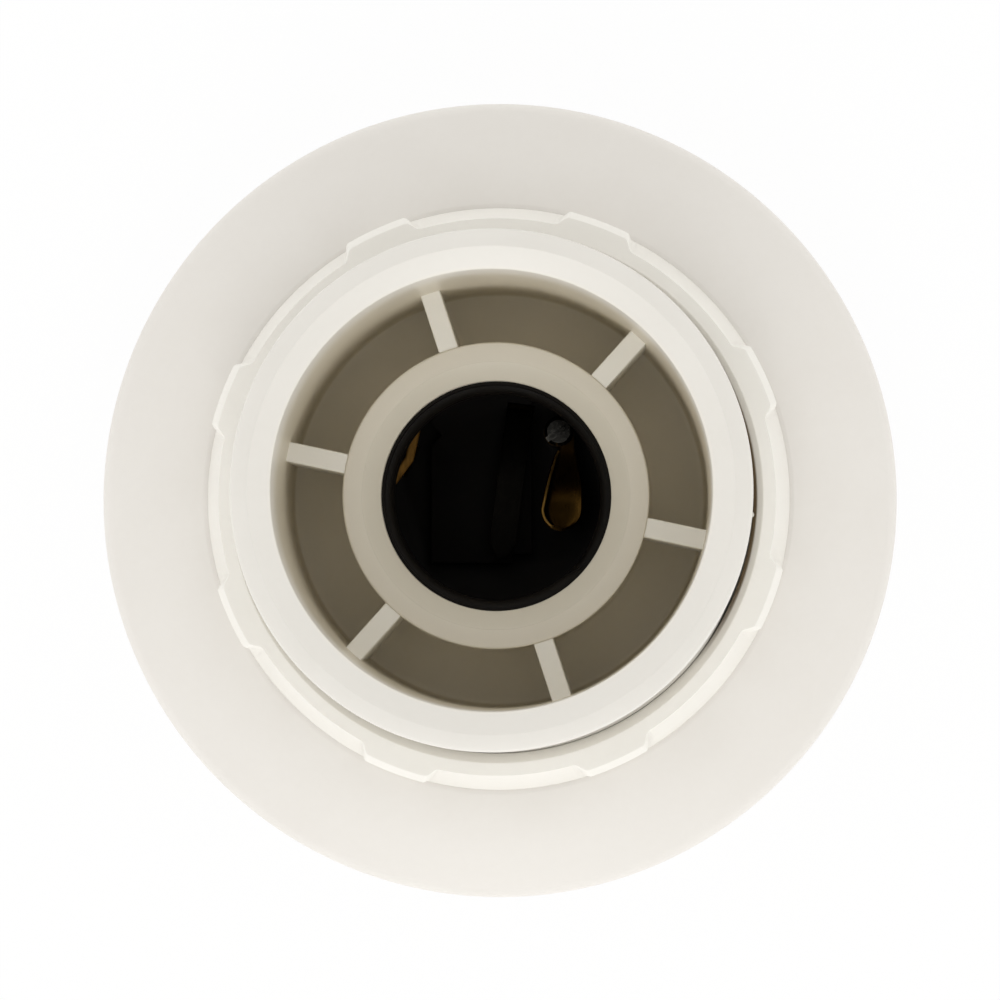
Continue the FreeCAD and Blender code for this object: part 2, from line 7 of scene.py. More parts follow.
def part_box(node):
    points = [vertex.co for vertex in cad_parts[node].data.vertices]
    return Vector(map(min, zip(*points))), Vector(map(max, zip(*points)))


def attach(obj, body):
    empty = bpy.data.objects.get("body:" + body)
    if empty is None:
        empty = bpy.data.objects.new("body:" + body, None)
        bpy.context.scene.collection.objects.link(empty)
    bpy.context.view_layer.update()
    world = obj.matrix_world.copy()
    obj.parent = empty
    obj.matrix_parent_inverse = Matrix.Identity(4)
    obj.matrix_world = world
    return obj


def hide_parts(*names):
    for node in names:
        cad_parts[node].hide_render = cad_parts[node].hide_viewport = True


# Ceiling lamp holder: white thermoset mouldings, black lamp insert, brass and plated contacts.
# Lengths are written in millimetres and turned to metres when a mesh is made.
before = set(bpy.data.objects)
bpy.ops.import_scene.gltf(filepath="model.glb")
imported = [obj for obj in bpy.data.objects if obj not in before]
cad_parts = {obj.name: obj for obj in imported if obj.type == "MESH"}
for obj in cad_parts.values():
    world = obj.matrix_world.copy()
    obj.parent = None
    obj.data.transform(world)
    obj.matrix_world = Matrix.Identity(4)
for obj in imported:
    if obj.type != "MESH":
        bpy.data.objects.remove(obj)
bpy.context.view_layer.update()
MM = 0.001
EDGE_SEGMENTS = 3       # steps across a rounded edge


def node_mm(name):
    """Lowest and highest corner of a solid, in millimetres."""
    low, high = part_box(name)
    return [v / MM for v in low], [v / MM for v in high]


# ---------------------------------------------------------------- meshes

def solid_piece(name, points, faces, smooth_angle=35.0):
    """A mesh object from points in millimetres, smooth except over sharp edges."""
    mesh = bpy.data.meshes.new(name)
    mesh.from_pydata([[c * MM for c in p] for p in points], [], faces)
    piece = bpy.data.objects.new(name, mesh)
    bpy.context.scene.collection.objects.link(piece)
    tidy_mesh(piece, smooth_angle)
    return piece


def tidy_mesh(piece, smooth_angle=35.0):
    """Merges doubles, turns the faces outwards and marks the sharp edges."""
    work = bmesh.new()
    work.from_mesh(piece.data)
    bmesh.ops.remove_doubles(work, verts=work.verts, dist=0.002 * MM)
    bmesh.ops.recalc_face_normals(work, faces=work.faces)
    for edge in work.edges:
        turns_gently = len(edge.link_faces) != 2 or edge.calc_face_angle(0) < math.radians(smooth_angle)
        edge.smooth = turns_gently
    for face in work.faces:
        face.smooth = True
    work.to_mesh(piece.data)
    work.free()


def settle(piece, smooth_angle=35.0):
    """Applies what the piece's modifiers make of it and takes them off."""
    bpy.context.view_layer.update()
    ready = piece.evaluated_get(bpy.context.evaluated_depsgraph_get())
    mesh = bpy.data.meshes.new_from_object(ready)
    piece.modifiers.clear()
    old = piece.data
    piece.data = mesh
    bpy.data.meshes.remove(old)
    tidy_mesh(piece, smooth_angle)
    return piece


def soften(corners, bend_steps=4):
    """A closed outline through (radius, height, rounding) corners, each corner rounded. A rounding
    takes up less than half of the shorter side next to it."""
    most_of_side = 0.45
    loop = []
    for i, (r, z, rounding) in enumerate(corners):
        here = Vector((r, z))
        back = Vector(corners[i - 1][:2]) - here
        ahead = Vector(corners[(i + 1) % len(corners)][:2]) - here
        if rounding == 0:
            loop.append(here)
            continue
        wanted = rounding / math.tan(back.angle(ahead) / 2)
        reach = min(wanted, most_of_side * min(back.length, ahead.length))
        start = here + back.normalized() * reach
        end = here + ahead.normalized() * reach
        for k in range(bend_steps + 1):
            t = k / bend_steps
            loop.append(start.lerp(here, t).lerp(here.lerp(end, t), t))
    return loop


def lathe(name, loop, steps, about=(0.0, 0.0)):
    """Turns a closed outline of (radius, height) about an upright axis."""
    points = []
    for s in range(steps):
        a = 2 * math.pi * s / steps
        points += [(about[0] + r * math.cos(a), about[1] + r * math.sin(a), z) for r, z in loop]
    count = len(loop)
    faces = []
    for s in range(steps):
        here, there = s * count, ((s + 1) % steps) * count
        for k in range(count):
            m = (k + 1) % count
            faces.append((here + k, there + k, there + m, here + m))
    return solid_piece(name, points, faces)


def sheet_metal(name, rows, thickness, edge=0.12):
    """A bent sheet from rows of points on its middle, with rounded edges."""
    across = len(rows[0])
    faces = []
    for i in range(len(rows) - 1):
        for j in range(across - 1):
            k = i * across + j
            faces.append((k, k + 1, k + across + 1, k + across))
    piece = solid_piece(name, [p for row in rows for p in row], faces)
    shell = piece.modifiers.new("thickness", "SOLIDIFY")
    shell.thickness = thickness * MM
    shell.offset = 0
    bevel = piece.modifiers.new("edges", "BEVEL")
    bevel.width = edge * MM
    bevel.segments = EDGE_SEGMENTS
    bevel.limit_method = "ANGLE"
    bevel.angle_limit = math.radians(50)
    return settle(piece, 50)


def dressed(node, name, edge):
    """A finished copy of a solid: its loose triangles merged, its corners rounded."""
    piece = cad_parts[node].copy()
    piece.data = piece.data.copy()
    piece.name = name
    piece.parent = None
    bpy.context.scene.collection.objects.link(piece)
    work = bmesh.new()
    work.from_mesh(piece.data)
    bmesh.ops.remove_doubles(work, verts=work.verts, dist=0.001 * MM)
    nearly_flat = math.radians(1.5)
    bmesh.ops.dissolve_limit(work, angle_limit=nearly_flat, verts=work.verts, edges=work.edges)
    work.to_mesh(piece.data)
    work.free()
    piece.data.materials.clear()
    bevel = piece.modifiers.new("edges", "BEVEL")
    bevel.width = edge * MM
    bevel.segments = EDGE_SEGMENTS
    bevel.limit_method = "ANGLE"
    bevel.angle_limit = math.radians(32)
    bevel.use_clamp_overlap = True      # narrow places keep their shape
    return settle(piece, 40)


# ---------------------------------------------------------------- node trees

def add(tree, kind, inputs=None, **settings):
    """Adds a node with its settings; inputs are values, or sockets to link."""
    made = tree.nodes.new(kind)
    for key, value in settings.items():
        setattr(made, key, value)
    for key, value in (inputs or {}).items():
        if isinstance(value, bpy.types.NodeSocket):
            tree.links.new(value, made.inputs[key])
        else:
            made.inputs[key].default_value = value
    return made


def shape_tree(name, sizes):
    """An empty geometry tree with named inputs; returns it with its input sockets."""
    tree = bpy.data.node_groups.new(name, "GeometryNodeTree")
    tree.interface.new_socket("Geometry", in_out="INPUT", socket_type="NodeSocketGeometry")
    tree.interface.new_socket("Geometry", in_out="OUTPUT", socket_type="NodeSocketGeometry")
    for label, kind in sizes:
        tree.interface.new_socket(label, in_out="INPUT", socket_type=kind)
    return tree, add(tree, "NodeGroupInput").outputs


def close_tree(tree, geometry, material):
    """Ends a tree: real geometry with its material."""
    real = add(tree, "GeometryNodeRealizeInstances", {"Geometry": geometry}).outputs[0]
    done = add(tree, "GeometryNodeSetMaterial", {"Geometry": real, "Material": material}).outputs[0]
    add(tree, "NodeGroupOutput", {"Geometry": done})


def shaped(piece, tree, sizes, smooth_angle=35.0):
    """Runs a tree on a piece with the given sizes and keeps the result as a plain mesh."""
    run = piece.modifiers.new(tree.name, "NODES")
    run.node_group = tree
    sockets = {s.name: s.identifier for s in tree.interface.items_tree if s.in_out == "INPUT"}
    for label, value in sizes.items():
        run[sockets[label]] = value
    return settle(piece, smooth_angle)


FLOAT, COUNT, FINISH = "NodeSocketFloat", "NodeSocketInt", "NodeSocketMaterial"


def copies_tree():
    """Copies of one piece set evenly round the axis."""
    tree, size = shape_tree("set_round", [
        ("Count", COUNT), ("First angle", FLOAT), ("Finish", FINISH)])
    spots = add(tree, "GeometryNodeMeshLine", {"Count": size["Count"], "Offset": (0, 0, 0)}).outputs[0]
    number = add(tree, "GeometryNodeInputIndex").outputs[0]
    step = add(tree, "ShaderNodeMath", {0: 2 * math.pi, 1: size["Count"]}, operation="DIVIDE").outputs[0]
    turn = add(tree, "ShaderNodeMath", {0: number, 1: step, 2: size["First angle"]},
               operation="MULTIPLY_ADD").outputs[0]
    spin = add(tree, "ShaderNodeCombineXYZ", {"Z": turn}).outputs[0]
    placed = add(tree, "GeometryNodeInstanceOnPoints",
                 {"Points": spots, "Instance": size["Geometry"], "Rotation": spin}).outputs[0]
    close_tree(tree, placed, size["Finish"])
    return tree


def thread_tree(name, flat_crest):
    """A right-handed screw thread: a helix swept with an oval or a flat-crested section, each end
    tapered off over the run-out. The section is drawn two units wide and high, then scaled."""
    steps_per_turn, end_share = 144, 0.15
    crest_width, root_width, tooth_rounding = 0.7, 2.0, 0.08
    tree, size = shape_tree(name, [
        ("Turns", FLOAT), ("Pitch", FLOAT), ("Radius", FLOAT), ("Start height", FLOAT),
        ("Start angle", FLOAT), ("Half depth", FLOAT), ("Half width", FLOAT), ("Run-out", FLOAT),
        ("Finish", FINISH)])
    rise = add(tree, "ShaderNodeMath", {0: size["Turns"], 1: size["Pitch"]},
               operation="MULTIPLY").outputs[0]
    helix = add(tree, "GeometryNodeCurveSpiral", {
        "Resolution": steps_per_turn, "Rotations": size["Turns"], "Start Radius": size["Radius"],
        "End Radius": size["Radius"], "Height": rise, "Reverse": True}).outputs[0]
    spin = add(tree, "ShaderNodeCombineXYZ", {"Z": size["Start angle"]}).outputs[0]
    lift = add(tree, "ShaderNodeCombineXYZ", {"Z": size["Start height"]}).outputs[0]
    placed = add(tree, "GeometryNodeTransform",
                 {"Geometry": helix, "Rotation": spin, "Translation": lift}).outputs[0]
    level = add(tree, "GeometryNodeSetCurveNormal", {"Curve": placed}, mode="Z_UP").outputs[0]
    along = add(tree, "GeometryNodeSplineParameter").outputs["Length"]
    length = add(tree, "GeometryNodeSplineLength").outputs["Length"]
    left = add(tree, "ShaderNodeMath", {0: length, 1: along}, operation="SUBTRACT").outputs[0]
    nearest = add(tree, "ShaderNodeMath", {0: along, 1: left}, operation="MINIMUM").outputs[0]
    taper = add(tree, "ShaderNodeMapRange", {
        "Value": nearest, "From Min": 0.0, "From Max": size["Run-out"],
        "To Min": end_share, "To Max": 1.0}, interpolation_type="SMOOTHSTEP").outputs[0]
    if flat_crest:
        tooth = add(tree, "GeometryNodeCurvePrimitiveQuadrilateral", {
            "Height": 2.0, "Bottom Width": root_width, "Top Width": crest_width, "Offset": 0.0},
            mode="TRAPEZOID").outputs[0]
        laid = add(tree, "GeometryNodeTransform",
                   {"Geometry": tooth, "Rotation": (0, 0, -math.pi / 2)}).outputs[0]
        section = add(tree, "GeometryNodeFilletCurve",
                      {"Curve": laid, "Radius": tooth_rounding, "Count": 3}, mode="POLY").outputs[0]
    else:
        section = add(tree, "GeometryNodeCurvePrimitiveCircle", {"Resolution": 14, "Radius": 1.0},
                      mode="RADIUS").outputs[0]
    scale = add(tree, "ShaderNodeCombineXYZ",
                {"X": size["Half depth"], "Y": size["Half width"], "Z": 1.0}).outputs[0]
    profile = add(tree, "GeometryNodeTransform", {"Geometry": section, "Scale": scale}).outputs[0]
    swept = add(tree, "GeometryNodeCurveToMesh", {
        "Curve": level, "Profile Curve": profile, "Scale": taper, "Fill Caps": True}).outputs[0]
    close_tree(tree, swept, size["Finish"])
    return tree


def castellation_tree():
    """Cuts a turned ring back between its lugs, along a slope that leans in towards the front."""
    tree, size = shape_tree("castellated_ring", [
        ("Lugs", COUNT), ("Lug angle", FLOAT), ("First lug", FLOAT), ("Flank angle", FLOAT),
        ("Foot height", FLOAT), ("Top height", FLOAT), ("Foot radius", FLOAT), ("Top radius", FLOAT),
        ("Finish", FINISH)])
    place = add(tree, "GeometryNodeInputPosition").outputs[0]
    spot = add(tree, "ShaderNodeSeparateXYZ", {0: place}).outputs
    plan = add(tree, "ShaderNodeCombineXYZ", {"X": spot["X"], "Y": spot["Y"]}).outputs[0]
    known = {label: size[label] for label in ("Lugs", "Lug angle", "First lug", "Flank angle")}
    known.update(x=spot["X"], y=spot["Y"])
    known["radius"] = add(tree, "ShaderNodeVectorMath", {0: plan}, operation="LENGTH").outputs["Value"]
    known["slope"] = add(tree, "ShaderNodeMapRange", {
        "Value": spot["Z"], "From Min": size["Foot height"], "From Max": size["Top height"],
        "To Min": size["Foot radius"], "To Max": size["Top radius"]}).outputs[0]

    # Each line names a result, its sum, and what that takes: numbers, or names of earlier results.
    lug_sums = [
        ("angle", "ARCTAN2", "y", "x"),
        ("from first lug", "SUBTRACT", "angle", "First lug"),
        ("share of a turn", "DIVIDE", "from first lug", 2 * math.pi),
        ("lugs passed", "MULTIPLY", "share of a turn", "Lugs"),
        ("nearest lug", "ROUND", "lugs passed"),
        ("off the lug", "SUBTRACT", "lugs passed", "nearest lug"),
        ("off, either way", "ABSOLUTE", "off the lug"),
        ("off by a turn's share", "MULTIPLY", "off, either way", 2 * math.pi),
        ("away", "DIVIDE", "off by a turn's share", "Lugs"),
        ("half lug", "MULTIPLY", "Lug angle", 0.5),
        ("half flank", "MULTIPLY", "Flank angle", 0.5),
        ("lug's top edge", "SUBTRACT", "half lug", "half flank"),
        ("lug's foot edge", "ADD", "half lug", "half flank")]
    for result, operation, *values in lug_sums:
        parts = {i: known.get(value, value) for i, value in enumerate(values)}
        known[result] = add(tree, "ShaderNodeMath", parts, operation=operation).outputs[0]
    known["lug"] = add(tree, "ShaderNodeMapRange", {
        "Value": known["away"], "From Min": known["lug's top edge"], "From Max": known["lug's foot edge"],
        "To Min": 1.0, "To Max": 0.0}, interpolation_type="SMOOTHSTEP").outputs[0]
    radius_sums = [
        ("cut radius", "MINIMUM", "radius", "slope"),
        ("lug part", "MULTIPLY", "radius", "lug"),
        ("gap", "SUBTRACT", 1.0, "lug"),
        ("gap part", "MULTIPLY", "cut radius", "gap"),
        ("kept radius", "ADD", "lug part", "gap part"),
        ("ratio", "DIVIDE", "kept radius", "radius"),
        ("new x", "MULTIPLY", "x", "ratio"),
        ("new y", "MULTIPLY", "y", "ratio")]
    for result, operation, *values in radius_sums:
        parts = {i: known.get(value, value) for i, value in enumerate(values)}
        known[result] = add(tree, "ShaderNodeMath", parts, operation=operation).outputs[0]
    moved = add(tree, "ShaderNodeCombineXYZ",
                {"X": known["new x"], "Y": known["new y"], "Z": spot["Z"]}).outputs[0]
    done = add(tree, "GeometryNodeSetPosition",
               {"Geometry": size["Geometry"], "Position": moved}).outputs[0]
    close_tree(tree, done, size["Finish"])
    return tree


# ---------------------------------------------------------------- finishes

def linear(code):
    """An sRGB hex colour as the linear colour a socket wants."""
    parts = [int(code[i:i + 2], 16) / 255 for i in (1, 3, 5)]
    return [c / 12.92 if c <= 0.04045 else ((c + 0.055) / 1.055) ** 2.4 for c in parts] + [1.0]


def finish_base(name, roughness):
    """A new material; returns it with its tree, its shader and the object coordinates."""
    finish = bpy.data.materials.new(name)
    finish.use_nodes = True
    tree = finish.node_tree
    shader = tree.nodes["Principled BSDF"]
    shader.inputs["Roughness"].default_value = roughness
    return finish, tree, shader, add(tree, "ShaderNodeTexCoord").outputs["Object"]


def per_mm(size):
    """The noise scale whose features are about this many millimetres across."""
    return 1 / (size * MM)


# Places of painted light and shade: a tone, then its bounds. A bound is what is measured, where its share
# begins and ends, and the share at each. Heights and distances from the axis are in millimetres.
# Inside the skirt a warmer, lighter tone, more the deeper it lies, is painted light for the light bounced
# round the recess, and the lower wall is browned as painted shade. The slope of the mouth is greyed as
# painted shade, and a little of the collar's flat top is greyed too.
SKIRT_PAINTED_LIGHT_AND_SHADE = [
    ("#F6EFE0", [("radius", 25.6, 25.2, 0, 1), ("height", 53, 14, 0.15, 1)]),
    ("#D0C6AE", [("radius", 25.6, 25.2, 0, 1), ("radius", 24.6, 24.9, 0, 1), ("height", 52, 40, 0, 0.6)]),
    ("#DAD4C5", [("radius", 15.95, 15.7, 0, 1), ("height", 28.2, 28.6, 0, 1)]),
    ("#DAD4C5", [("radius", 18.4, 18.15, 0, 0.45), ("height", 29.0, 29.3, 0, 1)])]
# Painted shade: a brown tone darkens the ring's mouth close to the skirt, on the side that the skirt
# shades. What "facing" measures is 1 on the shaded side and 0 a quarter turn from it.
SHADED_SIDE = math.radians(15)
RING_MOUTH_PAINTED_SHADE = [
    ("#6B583B", [("facing", 0.5, 0.85, 0, 1), ("radius", 31.05, 30.8, 0, 1), ("height", 23, 24, 0, 1)])]


def painted_light_colour(tree, place, colour, zones):
    """Lays tones of painted light and shade over a colour."""
    spot = add(tree, "ShaderNodeSeparateXYZ", {0: place}).outputs
    plan = add(tree, "ShaderNodeCombineXYZ", {"X": spot["X"], "Y": spot["Y"]}).outputs[0]
    distance = add(tree, "ShaderNodeVectorMath", {0: plan}, operation="LENGTH").outputs["Value"]
    measured = {"height": (spot["Z"], MM), "radius": (distance, MM)}
    if any(bound[0] == "facing" for _, bounds in zones for bound in bounds):
        way = add(tree, "ShaderNodeVectorMath", {0: plan}, operation="NORMALIZE").outputs[0]
        side = (math.cos(SHADED_SIDE), math.sin(SHADED_SIDE), 0.0)
        facing = add(tree, "ShaderNodeVectorMath", {0: way, 1: side}, operation="DOT_PRODUCT")
        measured["facing"] = (facing.outputs["Value"], 1.0)
    for tone, bounds in zones:
        share = 1.0
        for measure, begin, end, first, last in bounds:
            value, unit = measured[measure]
            part = add(tree, "ShaderNodeMapRange", {
                "Value": value, "From Min": begin * unit, "From Max": end * unit,
                "To Min": first, "To Max": last}, interpolation_type="SMOOTHSTEP").outputs[0]
            share = add(tree, "ShaderNodeMath", {0: share, 1: part}, operation="MULTIPLY").outputs[0]
        colour = add(tree, "ShaderNodeMix", {0: share, 6: colour, 7: linear(tone)},
                     data_type="RGBA").outputs[2]
    return colour


def white_thermoset(name, dark, light, roughness, painted_light=()):
    """Compression-moulded urea: warm white, faintly clouded by the flow of the powder, with a satin
    skin that the steel mould leaves slightly uneven. The skin is drawn coarser than the real one, so
    that it shows."""
    cloud_mm, speck_mm, skin_mm = 9, 0.9, 0.35
    finish, tree, shader, place = finish_base(name, roughness)
    shader.inputs["IOR"].default_value = 1.55
    cloud = add(tree, "ShaderNodeTexNoise",
                {"Vector": place, "Scale": per_mm(cloud_mm), "Detail": 3.0}).outputs["Fac"]
    speck = add(tree, "ShaderNodeTexNoise",
                {"Vector": place, "Scale": per_mm(speck_mm), "Detail": 2.0}).outputs["Fac"]
    share = add(tree, "ShaderNodeMath", {0: cloud, 1: 0.7}, operation="MULTIPLY").outputs[0]
    share = add(tree, "ShaderNodeMath", {0: speck, 1: 0.3, 2: share}, operation="MULTIPLY_ADD").outputs[0]
    colour = add(tree, "ShaderNodeMix", {0: share, 6: linear(dark), 7: linear(light)},
                 data_type="RGBA").outputs[2]
    # Tones of painted light and shade, where they are given.
    if painted_light:
        colour = painted_light_colour(tree, place, colour, painted_light)
    tree.links.new(colour, shader.inputs["Base Color"])
    gloss = add(tree, "ShaderNodeMapRange", {
        "Value": cloud, "From Min": 0.3, "From Max": 0.7,
        "To Min": roughness - 0.05, "To Max": roughness + 0.06}).outputs[0]
    tree.links.new(gloss, shader.inputs["Roughness"])
    skin = add(tree, "ShaderNodeTexNoise",
               {"Vector": place, "Scale": per_mm(skin_mm), "Detail": 4.0}).outputs["Fac"]
    bump = add(tree, "ShaderNodeBump", {"Height": skin, "Strength": 0.12, "Distance": 0.02 * MM}).outputs[0]
    tree.links.new(bump, shader.inputs["Normal"])
    return finish


def black_phenolic(name):
    """Moulded phenolic: near black, a little brown in the thin places, dull where the mould was worn.
    It stands deep in the holder and takes little light, so its IOR is below the usual 1.6."""
    cloud_mm, skin_mm = 4, 0.5
    finish, tree, shader, place = finish_base(name, 0.5)
    shader.inputs["IOR"].default_value = 1.2
    cloud = add(tree, "ShaderNodeTexNoise",
                {"Vector": place, "Scale": per_mm(cloud_mm), "Detail": 4.0}).outputs["Fac"]
    colour = add(tree, "ShaderNodeMix", {0: cloud, 6: linear("#12100E"), 7: linear("#1B1815")},
                 data_type="RGBA").outputs[2]
    tree.links.new(colour, shader.inputs["Base Color"])
    gloss = add(tree, "ShaderNodeMapRange", {
        "Value": cloud, "From Min": 0.3, "From Max": 0.7, "To Min": 0.42, "To Max": 0.6}).outputs[0]
    tree.links.new(gloss, shader.inputs["Roughness"])
    skin = add(tree, "ShaderNodeTexNoise",
               {"Vector": place, "Scale": per_mm(skin_mm), "Detail": 4.0}).outputs["Fac"]
    bump = add(tree, "ShaderNodeBump", {"Height": skin, "Strength": 0.2, "Distance": 0.02 * MM}).outputs[0]
    tree.links.new(bump, shader.inputs["Normal"])
    return finish


ROLLED = (1.0, 0.08, 0.25)      # the grain is drawn out along the strip
PATCHY = (1.0, 1.0, 1.0)        # no direction


def rolled_metal(name, dark, light, roughness, grain_mm, stain_mm, relief_mm=0.01, stretch=ROLLED):
    """Rolled and stamped metal: fine lines along the strip, patches where the skin has dulled. The
    lines are drawn coarser than the real ones, so that they show."""
    finish, tree, shader, place = finish_base(name, roughness)
    shader.inputs["Metallic"].default_value = 1.0
    stain = add(tree, "ShaderNodeTexNoise",
                {"Vector": place, "Scale": per_mm(stain_mm), "Detail": 4.0}).outputs["Fac"]
    colour = add(tree, "ShaderNodeMix", {0: stain, 6: linear(dark), 7: linear(light)},
                 data_type="RGBA").outputs[2]
    tree.links.new(colour, shader.inputs["Base Color"])
    drawn = add(tree, "ShaderNodeMapping", {"Vector": place, "Scale": stretch}).outputs[0]
    line = add(tree, "ShaderNodeTexNoise",
               {"Vector": drawn, "Scale": per_mm(grain_mm), "Detail": 3.0}).outputs["Fac"]
    gloss = add(tree, "ShaderNodeMapRange", {
        "Value": line, "From Min": 0.3, "From Max": 0.7,
        "To Min": roughness - 0.08, "To Max": roughness + 0.1}).outputs[0]
    tree.links.new(gloss, shader.inputs["Roughness"])
    bump = add(tree, "ShaderNodeBump",
               {"Height": line, "Strength": 0.15, "Distance": relief_mm * MM}).outputs[0]
    tree.links.new(bump, shader.inputs["Normal"])
    return finish


# Barrel, ribs and ring are a little glossier than cover and plate. The ribs are coloured lighter than the
# barrel, as painted light, where they catch the most light.
COVER_WHITE = white_thermoset("urea_moulding_cover", "#E4E0DA", "#EBE8E3", 0.42)
SKIRT_WHITE = white_thermoset("urea_moulding_barrel", "#E2DFD8", "#EAE7E1", 0.36, SKIRT_PAINTED_LIGHT_AND_SHADE)
RIB_WHITE_PAINTED_LIGHT = white_thermoset("urea_moulding_ribs_painted_light", "#F7F4EB", "#FAF8F1", 0.36)
RING_WHITE = white_thermoset("urea_moulding_ring", "#ECE9E2", "#F3F1EB", 0.36, RING_MOUTH_PAINTED_SHADE)
PLATE_WHITE = white_thermoset("urea_moulding_plate", "#DDD9D1", "#E6E2DB", 0.45)
INSERT_BLACK = black_phenolic("phenolic_moulding")
# Brass in the cup is coloured dark brown as painted shade. Its lips are painted highlights: duller gold
# where the strip is bent at the wall, and bright gold along the edge of the spoon.
BRASS = rolled_metal("stamped_brass_strip", "#35250D", "#543D19", 0.34, 0.15, 1.5, 0.003)
WALL_LIP_PAINTED_HIGHLIGHT = rolled_metal("wall_lip_brass_painted_highlight", "#5C421E", "#7C5C2C", 0.5, 0.15, 1.5, 0.003)
SPOON_LIP_PAINTED_HIGHLIGHT = rolled_metal("spoon_lip_brass_painted_highlight", "#A47C3A", "#CFA55C", 0.5, 0.15, 1.5, 0.003)
# The terminals are clean and yellow, the straps in the plate brown from years in the dark.
MACHINED_BRASS = rolled_metal("machined_brass", "#A07C38", "#CFA656", 0.28, 0.1, 3.0)
DULL_BRASS = rolled_metal("tarnished_brass_strip", "#3F3218", "#5E4A24", 0.45, 0.15, 2.0)
# The centre strip's plate is coloured nearly black, as painted shade, the hidden screws light grey, and the
# leaf's screw is a darker grey, also painted shade, whose uneven head breaks up what it mirrors.
NICKEL_PAINTED_SHADE = rolled_metal("nickel_plate_painted_shade", "#141311", "#22201D", 0.5, 0.15, 1.2)
ZINC = rolled_metal("zinc_plated_steel", "#9A9A98", "#C4C4C0", 0.3, 0.12, 1.0)
ZINC_PAINTED_SHADE = rolled_metal("zinc_plate_painted_shade", "#54534F", "#8C8A84", 0.2, 0.7, 0.8, 0.35, PATCHY)


def finished(piece, finish, body, slot, *nodes):
    """Gives a piece its finish, its body and the solids that it stands for. The slot is not used."""
    piece.data.materials.clear()
    piece.data.materials.append(finish)
    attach(piece, body)
    if nodes:
        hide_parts(*nodes)


# ---------------------------------------------------------------- domed cover
_, (cover_radius, _, seat_height) = node_mm("base_cover")
(_, _, ring_base), (ring_radius, _, ring_top) = node_mm("shade_ring")
cover_wall, shoulder, round_over = 2.2, 12.6, 2.0
seat_radius, hole_radius = ring_radius + 0.55, 30.9
crown_rise = 0.45       # how far the face bulges out between the seat and the shoulder
face_end = (cover_radius - round_over, shoulder + round_over)
crown = [
    (seat_radius + t * (face_end[0] - seat_radius),
     seat_height + t * (face_end[1] - seat_height) + crown_rise * 4 * t * (1 - t), 0)
    for t in [k / 8 for k in range(1, 8)]
]
round_begin, round_step = 24, 11        # degrees from upright
edge_round = [
    (face_end[0] + round_over * math.sin(a), shoulder + round_over * math.cos(a), 0)
    for a in [math.radians(round_begin + round_step * k) for k in range(7)]
]
cover_outline = (
    [(hole_radius, seat_height - cover_wall, 0.2), (hole_radius, seat_height, 0.3),
     (seat_radius, seat_height, 0.8)]
    + crown + edge_round
    + [(cover_radius, 0.0, 0.4), (cover_radius - cover_wall, 0.0, 0.3),
       (cover_radius - cover_wall, shoulder - cover_wall, 1.2),
       (face_end[0] - 0.6, face_end[1] - cover_wall + 0.1, 1.2),
       (seat_radius, seat_height - cover_wall, 1.0)]
)
cover = lathe("domed_cover", soften(cover_outline), steps=384)
finished(cover, COVER_WHITE, "holder", "cover_white", "base_cover")

# ---------------------------------------------------------------- skirted barrel
(_, _, foot), (flange_radius, _, rim) = node_mm("skirted_barrel")
skirt_radius, rim_inner, rim_bevel, thread_crest = 29.7, 25.1, 27.7, 30.4
land_fall, rim_bevel_depth = 0.4, 1.1       # the rim's top slopes out a little, and in at its bevel
floor_height, collar_height, collar_radius = 14.0, 31.0, 18.1
collar_land, mouth_radius, mouth_depth, collar_bore, lip_base = 15.75, 13.6, 1.5, 16.0, 28.1
flange_top, flange_base = 15.25, 12.25
barrel_outline = [
    (thread_crest, foot, 0.3), (thread_crest, flange_base, 0), (flange_radius, flange_base, 0.3),
    (flange_radius, flange_top, 0.3), (skirt_radius, flange_top, 0), (skirt_radius, rim - land_fall, 0.45),
    (rim_bevel, rim, 0.25), (rim_inner, rim - rim_bevel_depth, 0.3), (rim_inner, floor_height, 0.8),
    (collar_radius, floor_height, 0.6), (collar_radius, collar_height, 0.3),
    (collar_land, collar_height, 0.2), (mouth_radius, collar_height - mouth_depth, 0.25),
    (mouth_radius, lip_base, 0.15), (collar_bore, lip_base, 0), (collar_bore, foot, 0.2)]
barrel = lathe("skirted_barrel_body", soften(barrel_outline), steps=360)
finished(barrel, SKIRT_WHITE, "holder", "skirt_white", "skirted_barrel")

rib_half, rib_top = 1.18, collar_height - 0.2
rib_root = 1.0          # how far a rib runs into the floor, the collar and the wall
rib_section = soften([(-rib_half, floor_height - rib_root, 0), (rib_half, floor_height - rib_root, 0),
                      (rib_half, rib_top, 0.25), (-rib_half, rib_top, 0.25)])
rib_ends = (collar_radius - rib_root, rim_inner + rib_root)
rib_points = [(x, y, z) for x in rib_ends for y, z in rib_section]
corners = len(rib_section)
rib_faces = [(k, (k + 1) % corners, corners + (k + 1) % corners, corners + k) for k in range(corners)]
rib_faces += [tuple(range(corners))[::-1], tuple(range(corners, 2 * corners))]
ribs = shaped(solid_piece("recess_ribs", rib_points, rib_faces), copies_tree(),
              {"Count": 6, "First angle": math.radians(48), "Finish": RIB_WHITE_PAINTED_LIGHT})
finished(ribs, RIB_WHITE_PAINTED_LIGHT, "holder", "skirt_white")

